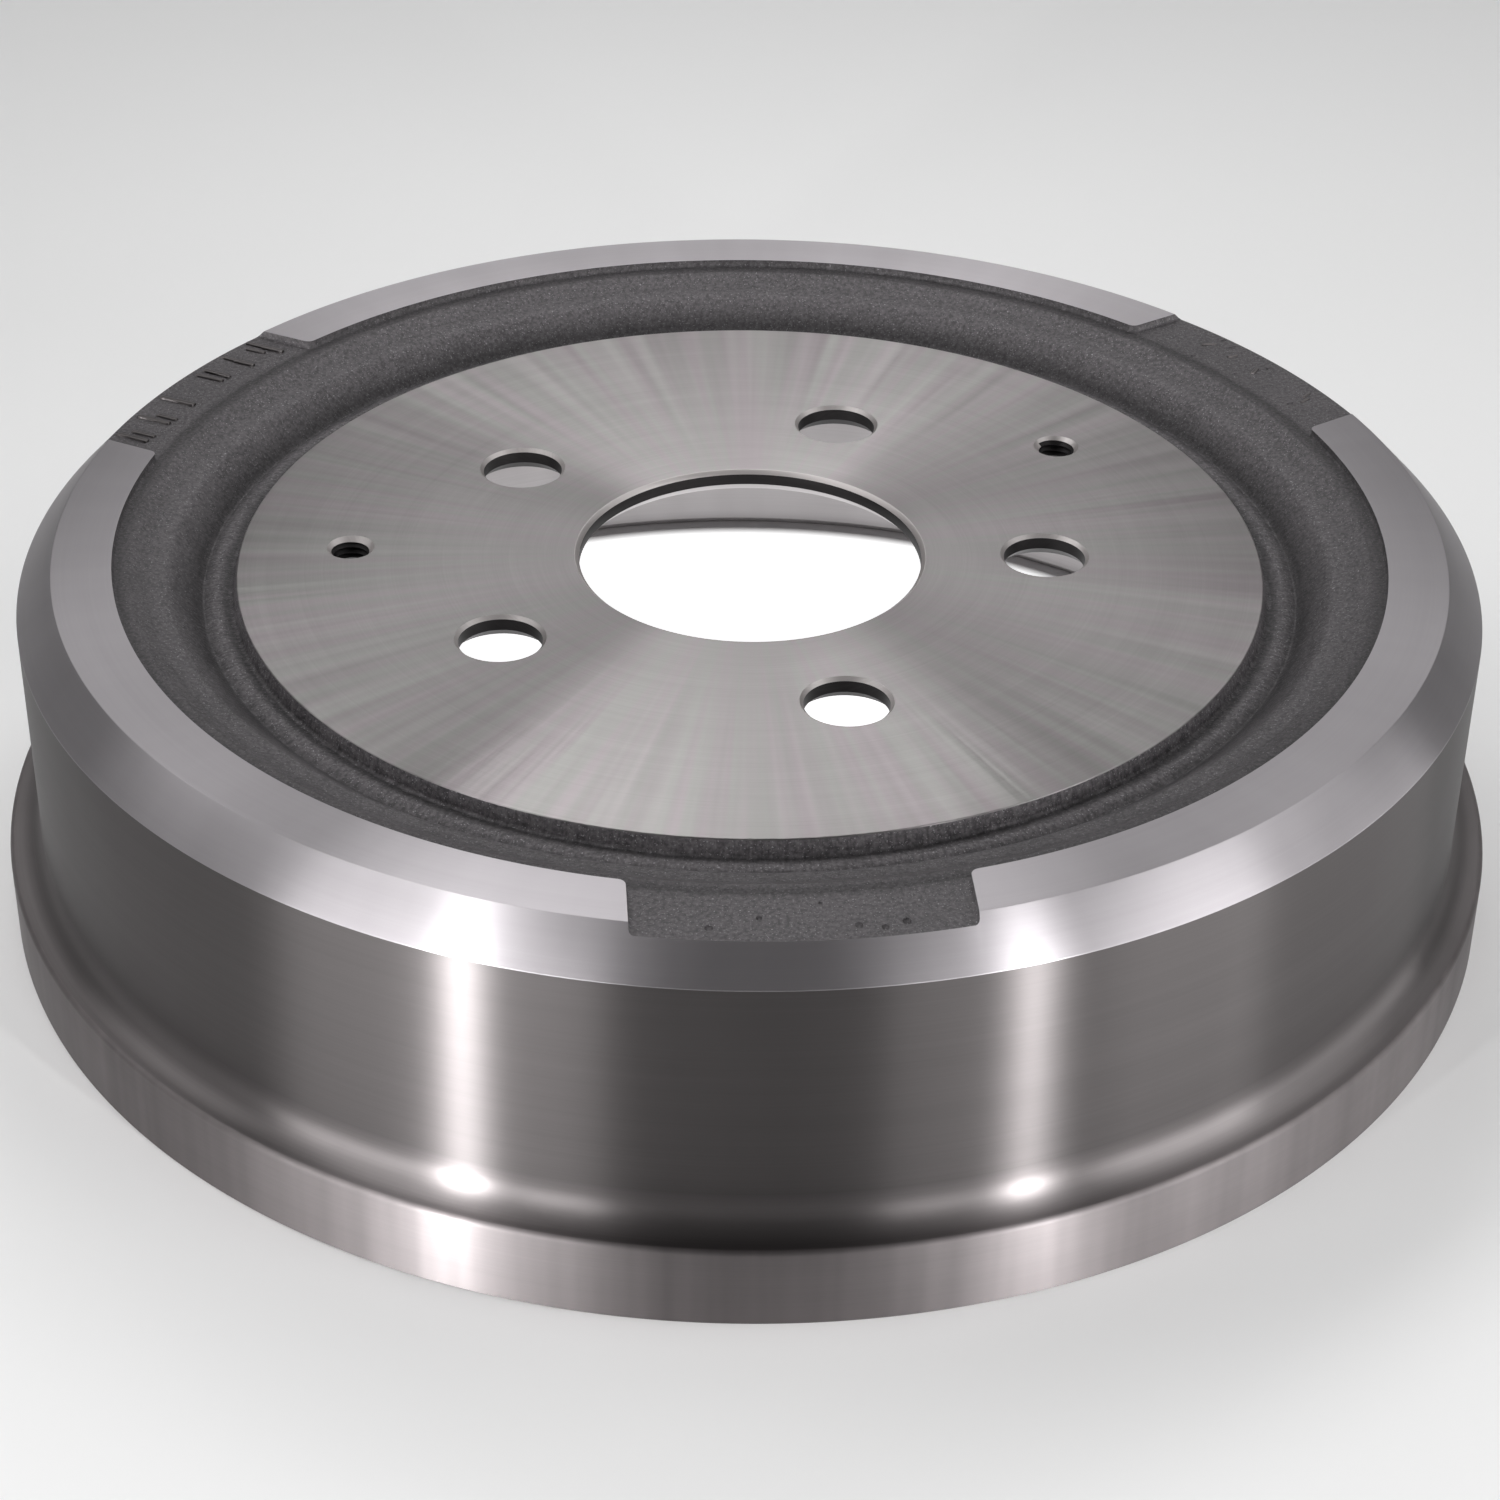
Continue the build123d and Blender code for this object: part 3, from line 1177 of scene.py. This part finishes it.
@dataclass(frozen=True)
class TurnedIron:
    """Cast iron with the marks of a lathe.

    A foot gain above 1 lightens the colour from the height foot_high down to foot_low, in metres: painted
    light that brightens the highlights towards the foot.
    """

    name: str
    colour: tuple[float, float, float]
    dark: tuple[float, float, float]
    roughness: float = 0.36
    anisotropy: float = 0.8
    line_scale: float = 2500.0
    line_depth: float = 0.002
    line_share: float = 0.5
    band_share: float = 0.5
    ray_share: float = 0.5
    tint: float = 0.0
    ray_scale: float = 14.0
    ray_depth: float = 0.01
    ray_gloss: float = 0.0
    painted_fillet_light: float = 1.0
    foot_low: float = 0.0185
    foot_high: float = 0.023

    def build(self, groups: ShaderGroups) -> bpy.types.Material:
        """Makes the material.

        Args:
            groups: the shared shader groups.

        Returns:
            The material.
        """
        material, sheet, shader = empty_material(self.name)
        place = sheet.add("TexCoord").outputs["Object"]
        marks = sheet.add("Group", node_tree=groups.marks, in_Vector=place)
        marks.inputs["Line Scale"].default_value = self.line_scale
        marks.inputs["Ray Scale"].default_value = self.ray_scale
        tone = sheet.maths("MULTIPLY", marks.outputs["Lines"], self.line_share)
        tone = sheet.maths("MULTIPLY_ADD", marks.outputs["Bands"], self.band_share, tone)
        tone = sheet.maths("MULTIPLY_ADD", marks.outputs["Rays"], self.ray_share, tone)
        total = self.line_share + self.band_share + self.ray_share
        tone = sheet.remap(tone, 0.32 * total, 0.68 * total, 0.0, 1.0)
        colour = sheet.mix(tone, (*self.dark, 1), (*self.colour, 1))
        hue = sheet.remap(marks.outputs["Tint"], 0.35, 0.65, 0.0, 1.0)
        rosy = (1.0 + self.tint, 1.0 - self.tint, 1.0, 1)
        greenish = (1.0 - self.tint, 1.0 + self.tint, 1.0 - self.tint, 1)
        colour = sheet.mix(1.0, colour, sheet.mix(hue, rosy, greenish), "MULTIPLY")
        # Painted light: the colour grows lighter from foot_high down to foot_low, so that the highlights there
        # are brighter.
        if self.painted_fillet_light != 1.0:
            height = sheet.add("SeparateXYZ", in_Vector=place).outputs["Z"]
            gain = sheet.remap(height, self.foot_low, self.foot_high, self.painted_fillet_light, 1.0)
            lift = sheet.add("VectorMath", operation="SCALE", in_0=colour, in_Scale=gain)
            colour = lift.outputs["Vector"]
        sheet.feed(shader.inputs["Base Color"], colour)
        shader.inputs["Metallic"].default_value = 1.0
        rough = sheet.remap(marks.outputs["Patches"], 0.3, 0.7, self.roughness * 0.97, self.roughness * 1.03)
        sheen = sheet.remap(marks.outputs["Rays"], 0.3, 0.7, 1.0 - self.ray_gloss, 1.0 + self.ray_gloss)
        sheet.feed(shader.inputs["Roughness"], sheet.maths("MULTIPLY", rough, sheen))
        shader.inputs["Anisotropic"].default_value = self.anisotropy
        shader.inputs["Anisotropic Rotation"].default_value = 0.25
        tangent = sheet.add("Tangent", direction_type="RADIAL", axis="Z")
        sheet.feed(shader.inputs["Tangent"], tangent.outputs[0])
        rays = sheet.add("Bump", in_Height=marks.outputs["Rays"], in_Distance=self.ray_depth * MM)
        lines = sheet.add("Bump", in_Height=marks.outputs["Lines"], in_Distance=self.line_depth * MM)
        sheet.feed(lines.inputs["Normal"], rays.outputs[0])
        sheet.feed(shader.inputs["Normal"], lines.outputs[0])
        return material


@dataclass(frozen=True)
class CastSkin:
    """The dark granular skin that the sand mould leaves."""

    name: str
    colour: tuple[float, float, float]
    light: tuple[float, float, float]
    speck: tuple[float, float, float]
    roughness: float = 0.62
    grain_scale: float = 1300.0
    depth: float = 0.1
    blotch: float = 0.22
    metallic: float = 0.6
    rough_spread: float = 0.06

    def build(self, groups: ShaderGroups) -> bpy.types.Material:
        """Makes the material.

        Args:
            groups: the shared shader groups.

        Returns:
            The material.
        """
        material, sheet, shader = empty_material(self.name)
        place = sheet.add("TexCoord").outputs["Object"]
        grain = sheet.add("Group", node_tree=groups.grain, in_Vector=place)
        grain.inputs["Grain Scale"].default_value = self.grain_scale
        tone = sheet.remap(grain.outputs["Tone"], 0.35, 0.7, 0.0, 1.0)
        blotch = sheet.remap(grain.outputs["Patches"], 0.3, 0.7, -self.blotch, self.blotch)
        tone = sheet.maths("ADD", tone, blotch)
        colour = sheet.mix(tone, (*self.colour, 1), (*self.light, 1))
        colour = sheet.mix(grain.outputs["Specks"], colour, (*self.speck, 1))
        # Painted light and shade: the skin's colour is scaled by radius, lighter on the hub's wall and darker
        # in the groove's hollows.
        shaded = sheet.add("VectorMath", operation="SCALE", in_0=colour, in_Scale=grain.outputs["Painted Shading"])
        sheet.feed(shader.inputs["Base Color"], shaded.outputs["Vector"])
        shader.inputs["Metallic"].default_value = self.metallic
        low, high = self.roughness - self.rough_spread, self.roughness + self.rough_spread
        rough = sheet.remap(grain.outputs["Patches"], 0.3, 0.7, low, high)
        sheet.feed(shader.inputs["Roughness"], rough)
        bump = sheet.add("Bump", in_Height=grain.outputs["Height"], in_Distance=self.depth * MM)
        sheet.feed(shader.inputs["Normal"], bump.outputs[0])
        return material


@dataclass(frozen=True)
class PaleFloor:
    """A plain pale matt floor that glows white inside the drum, where the photograph's background shows in the
    holes: painted light where the drum's shade falls.
    """

    name: str = "pale_floor"
    colour: tuple[float, float, float] = (0.88, 0.88, 0.88)
    white_radius: float = 0.126
    white_fade: float = 0.003
    mottle: float = 0.985

    def build(self) -> bpy.types.Material:
        """Makes the material.

        Returns:
            The material.
        """
        material, sheet, shader = empty_material(self.name)
        place = sheet.add("TexCoord").outputs["Object"]
        pale = (*self.colour, 1)
        slightly_less = (*(value * self.mottle for value in self.colour), 1)
        sheet.feed(shader.inputs["Base Color"], sheet.mix(sheet.noise(place, 3.0, 2.0), pale, slightly_less))
        shader.inputs["Roughness"].default_value = 0.9
        radius = sheet.add("VectorMath", operation="LENGTH", in_0=place).outputs["Value"]
        # Painted light: inside the drum the floor glows white to camera, glossy and transmission rays, though
        # the drum shades it there.
        glow_inside_drum = sheet.remap(radius, self.white_radius, self.white_radius + self.white_fade, 1.0, 0.0)
        path = sheet.add("LightPath")
        seen = sheet.maths("MAXIMUM", path.outputs["Is Camera Ray"], path.outputs["Is Glossy Ray"])
        seen = sheet.maths("MAXIMUM", seen, path.outputs["Is Transmission Ray"])
        shader.inputs["Emission Color"].default_value = (1, 1, 1, 1)
        sheet.feed(shader.inputs["Emission Strength"], sheet.maths("MULTIPLY", glow_inside_drum, seen))
        return material


# The drum and its studio


@dataclass
class BrakeDrum:
    """The whole drum: its turned body, its pads and holes, and its finishes."""

    sizes: DrumSizes = field(default_factory=DrumSizes)
    smooth_angle: float = 28.0
    grain_fade: float = 1.5
    lump_size: float = 3.2
    lump_depth: float = 0.16

    def build(self) -> bpy.types.Object:
        """Builds the drum's mesh.

        Returns:
            The drum with its faces sorted by zone.
        """
        body = TurnedBody(self.sizes)
        drum = body.build()
        self.add_slots(drum)
        for face in drum.data.polygons:
            face.material_index = body.zone(face.center, face.normal.z).value
        self.roughen(drum)
        self.shape(drum, PadGaps(self.sizes).build(), "DIFFERENCE", Zone.CAST_SKIN)
        self.shape(drum, WebHoles(self.sizes).build(), "DIFFERENCE", Zone.HOLE_WALL)
        self.mark_chamfers(drum)
        self.shape(drum, JackThread(self.sizes).build(), "DIFFERENCE", Zone.HOLE_WALL)
        marks = FoundryMarks(self.sizes)
        self.shape(drum, marks.raised(), "UNION", Zone.CAST_SKIN)
        self.shape(drum, marks.sunk(), "DIFFERENCE", Zone.CAST_SKIN)
        make_active(drum)
        bpy.ops.object.shade_smooth_by_angle(angle=math.radians(self.smooth_angle))
        drum.name = "drum_casting"
        drum.data.name = "drum_casting"
        return drum

    def shape(self, drum: bpy.types.Object, tool: bpy.types.Object, operation: str, zone: Zone) -> None:
        """Cuts or adds one tool and gives the new faces their zone.

        Args:
            drum: the drum's mesh.
            tool: the closed shape.
            operation: DIFFERENCE or UNION.
            zone: the finish of the faces that the tool leaves.
        """
        self.add_slots(tool)
        for face in tool.data.polygons:
            face.material_index = zone.value
        combine(drum, tool, operation)

    @staticmethod
    def mark_chamfers(drum: bpy.types.Object) -> None:
        """Gives the holes' chamfers on the hub face their own finish, a lighter copy of the turned iron that
        paints a highlight on them.

        Args:
            drum: the drum's mesh, with its holes.
        """
        for face in drum.data.polygons:
            if face.material_index == Zone.HOLE_WALL.value and face.normal.z > CHAMFER_UP:
                face.material_index = Zone.HOLE_EDGE.value

    def roughen(self, drum: bpy.types.Object) -> None:
        """Makes the cast groove's skin slightly uneven with a Displace modifier.

        Args:
            drum: the turned body before its cuts.
        """
        s = self.sizes
        group = drum.vertex_groups.new(name="cast_groove")
        for vertex in drum.data.vertices:
            radius = math.hypot(vertex.co.x, vertex.co.y) / MM
            inner = min(1.0, (radius - s.groove_foot[0]) / self.grain_fade)
            outer = min(1.0, (s.ledge_radius + 1.0 - radius) / self.grain_fade)
            if inner > 0 and outer > 0 and vertex.co.z / MM > s.valley[1] - 0.5:
                group.add([vertex.index], min(inner, outer), "REPLACE")
        clouds = bpy.data.textures.new("cast_unevenness", "CLOUDS")
        clouds.noise_scale = self.lump_size * MM
        clouds.noise_depth = 2
        make_active(drum)
        modifier = drum.modifiers.new("uneven", "DISPLACE")
        modifier.texture = clouds
        modifier.texture_coords = "LOCAL"
        modifier.vertex_group = group.name
        modifier.strength = self.lump_depth * MM
        modifier.mid_level = 0.5
        bpy.ops.object.modifier_apply(modifier=modifier.name)
        drum.vertex_groups.clear()

    @staticmethod
    def add_slots(piece: bpy.types.Object) -> None:
        """Gives a piece one material slot for each zone.

        Args:
            piece: the piece whose slots are filled.
        """
        for zone in Zone:
            name = "slot_" + zone.name.lower()
            material = bpy.data.materials.get(name) or bpy.data.materials.new(name)
            piece.data.materials.append(material)

    def dress(self, drum: bpy.types.Object, groups: ShaderGroups) -> None:
        """Puts the finishes on.

        Args:
            drum: the finished mesh.
            groups: the shared shader groups.
        """
        finishes = {
            Zone.HUB_FACE: TurnedIron(
                "turned_hub_face", (0.352, 0.333, 0.337), (0.25, 0.235, 0.238), roughness=0.364,
                anisotropy=0.952, line_share=0.25, band_share=0.3, ray_share=0.9, tint=0.02,
                ray_scale=26.0, ray_depth=0.08, ray_gloss=0.04,
            ),
            Zone.SHOULDER: TurnedIron(
                "turned_shoulder", (0.38, 0.36, 0.376), (0.338, 0.32, 0.334), roughness=0.38,
                anisotropy=0.95, line_share=0.2, band_share=0.3, ray_scale=15.0, ray_gloss=0.03,
            ),
            # Painted shade: the barrel is a much darker copy of the turned iron, which paints in a dark
            # reflection in place of the pale floor's; its foot gain paints light back in towards the fillet.
            Zone.BARREL: TurnedIron(
                "turned_barrel_painted_shade", (0.112, 0.1035, 0.104), (0.098, 0.0905, 0.091), roughness=0.377,
                anisotropy=1.0, line_share=0.2, band_share=0.2, ray_share=0.1, ray_depth=0.003,
                painted_fillet_light=1.75,
            ),
            Zone.RIM: TurnedIron(
                "turned_rim", (0.242, 0.221, 0.223), (0.188, 0.172, 0.174), roughness=0.47,
                anisotropy=0.95, line_share=0.2, band_share=0.2, ray_share=0.8, ray_scale=30.0,
            ),
            Zone.CAST_SKIN: CastSkin(
                "cast_skin", (0.06, 0.056, 0.059), (0.13, 0.121, 0.127), (0.26, 0.25, 0.26)
            ),
            # Painted shade: the bored walls and threads are a near-black copy of the turned iron, for the
            # shade inside the holes.
            Zone.HOLE_WALL: TurnedIron(
                "bored_wall_painted_shade", (0.034, 0.032, 0.033), (0.02, 0.019, 0.019), roughness=0.5, anisotropy=0.5
            ),
            # Painted light: the holes' chamfers are a lighter copy of the turned iron, for the highlights on
            # their edges.
            Zone.HOLE_EDGE: TurnedIron(
                "turned_hole_edge_painted_light", (0.52, 0.49, 0.485), (0.4, 0.375, 0.37), roughness=0.5, anisotropy=0.3
            ),
            # Painted light: the inside is a lighter copy of the turned iron, so that it shows light through
            # the holes.
            Zone.INSIDE: TurnedIron(
                "turned_inside_painted_light", (0.53, 0.51, 0.515), (0.45, 0.43, 0.435), roughness=0.4, anisotropy=0.9
            ),
        }
        for zone, finish in finishes.items():
            drum.data.materials[zone.value] = finish.build(groups)


@dataclass(frozen=True)
class SoftBox:
    """A rectangular studio lamp, in metres and watts."""

    name: str
    place: tuple[float, float, float]
    width: float
    length: float
    power: float
    aim: tuple[float, float, float] = (0.0, 0.0, 0.05)

    def build(self) -> None:
        """Adds the lamp and turns it to its aim."""
        data = bpy.data.lights.new(self.name, "AREA")
        data.shape = "RECTANGLE"
        data.size = self.width
        data.size_y = self.length
        data.energy = self.power
        lamp = bpy.data.objects.new(self.name, data)
        bpy.context.scene.collection.objects.link(lamp)
        lamp.location = self.place
        toward = Vector(self.aim) - Vector(self.place)
        lamp.rotation_euler = toward.to_track_quat("-Z", "Y").to_euler()


@dataclass
class Studio:
    """The pale floor, the lamps, the surroundings and the camera, in metres, radians and, for the lens, mm."""

    floor_radius: float = 6.0
    world_level: float = 0.12
    camera_place: tuple[float, float, float] = (0.0, -0.557229, 0.379722)
    camera_pitch: float = 0.5730547
    camera_yaw: float = 0.0007741
    camera_roll: float = -0.0126123
    drum_turn: float = 0.0021811
    lens: float = 78.9294
    sensor: float = 36.0
    clip: tuple[float, float] = (0.01, 50.0)
    boxes: tuple[SoftBox, ...] = (
        SoftBox("left_strip", (-0.595, -0.804, 0.07), 0.034, 0.12, 8.0),
        SoftBox("right_strip", (0.602, -0.799, 0.07), 0.037, 0.12, 4.6),
        SoftBox("right_high_strip", (0.602, -0.799, 0.42), 0.035, 0.2, 1.0),
        SoftBox("left_inner_box", (-0.407, -0.914, 0.17), 0.2, 0.3, 1.85),
        SoftBox("right_inner_box", (0.407, -0.914, 0.17), 0.2, 0.3, 1.1),
        SoftBox("left_low_box", (-0.878, -0.662, 0.25), 0.42, 0.4, 3.7),
        SoftBox("right_low_box", (0.953, -0.55, 0.25), 0.5, 0.4, 4.2),
        SoftBox("right_ground_box", (0.697, -0.061, 0.08), 0.5, 0.12, 0.7),
        SoftBox("left_side_box", (-0.861, -0.231, 0.853), 0.6, 0.4, 0.6),
        SoftBox("left_far_box", (-0.848, 0.276, 0.853), 0.4, 0.4, 1.2),
        SoftBox("right_side_box", (0.891, -0.031, 0.853), 0.95, 0.4, 2.5),
        SoftBox("back_box", (0.0, 1.413, 0.801), 0.7, 0.4, 1.35),
        SoftBox("back_left_box", (-0.705, 1.086, 0.99), 0.5, 0.6, 1.4),
        SoftBox("back_right_box", (0.705, 1.086, 0.99), 0.5, 0.6, 1.3),
        SoftBox("near_box", (-0.02, 0.35, 0.58), 0.35, 0.15, 0.5),
        SoftBox("close_box", (-0.08, 0.08, 0.45), 0.6, 0.12, 0.75),
    )

    def floor(self) -> bpy.types.Object:
        """Lays the floor.

        Returns:
            The floor's object.
        """
        deselect_everything()
        bpy.ops.mesh.primitive_circle_add(
            vertices=96, radius=self.floor_radius, fill_type="NGON", location=(0, 0, 0)
        )
        ground = bpy.context.active_object
        ground.name = "floor"
        ground.data.materials.append(PaleFloor().build())
        return ground

    def surroundings(self) -> None:
        """Sets a plain grey world."""
        world = bpy.data.worlds.new("studio")
        bpy.context.scene.world = world
        world.use_nodes = True
        backdrop = world.node_tree.nodes["Background"]
        backdrop.inputs["Color"].default_value = (1, 1, 1, 1)
        backdrop.inputs["Strength"].default_value = self.world_level

    def lamps(self) -> None:
        """Hangs the soft boxes."""
        for box in self.boxes:
            box.build()

    def camera(self) -> None:
        """Sets the camera where the photograph was taken from."""
        data = bpy.data.cameras.new("camera")
        data.lens = self.lens
        data.sensor_width = self.sensor
        data.clip_start, data.clip_end = self.clip
        cosine, sine = math.cos(self.camera_roll), math.sin(self.camera_roll)
        level, drop = math.cos(self.camera_pitch), math.sin(self.camera_pitch)
        right = Vector((cosine, -sine * drop, -sine * level))
        up = Vector((sine, cosine * drop, cosine * level))
        back = Vector((0, -level, drop))
        facing = Matrix((right, up, back)).transposed().to_4x4()
        yaw = Matrix.Rotation(-self.camera_yaw, 4, "Z")
        around = Matrix.Rotation(-self.drum_turn, 4, "Z")
        eye = bpy.data.objects.new("camera", data)
        bpy.context.scene.collection.objects.link(eye)
        eye.matrix_world = around @ Matrix.Translation(self.camera_place) @ yaw @ facing
        bpy.context.scene.camera = eye

    def build(self) -> None:
        """Builds the whole studio."""
        self.floor()
        self.surroundings()
        self.lamps()
        self.camera()
        bpy.context.scene.view_settings.view_transform = "Standard"


def report(piece: bpy.types.Object) -> None:
    """Logs a finished piece.

    Args:
        piece: the piece.
    """
    piece.data.calc_loop_triangles()
    LOG.info("%s: %d triangles", piece.name, len(piece.data.loop_triangles))


def main() -> None:
    """Builds the drum and the studio, in order."""
    logging.basicConfig(level=logging.INFO, format="%(name)s: %(message)s")
    groups = ShaderGroups(turning_marks(), cast_grain())
    maker = BrakeDrum()
    drum = maker.build()
    maker.dress(drum, groups)
    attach(drum, "root")
    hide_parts("brake_drum")
    report(drum)
    Studio().build()


if __name__ == "__main__":
    main()
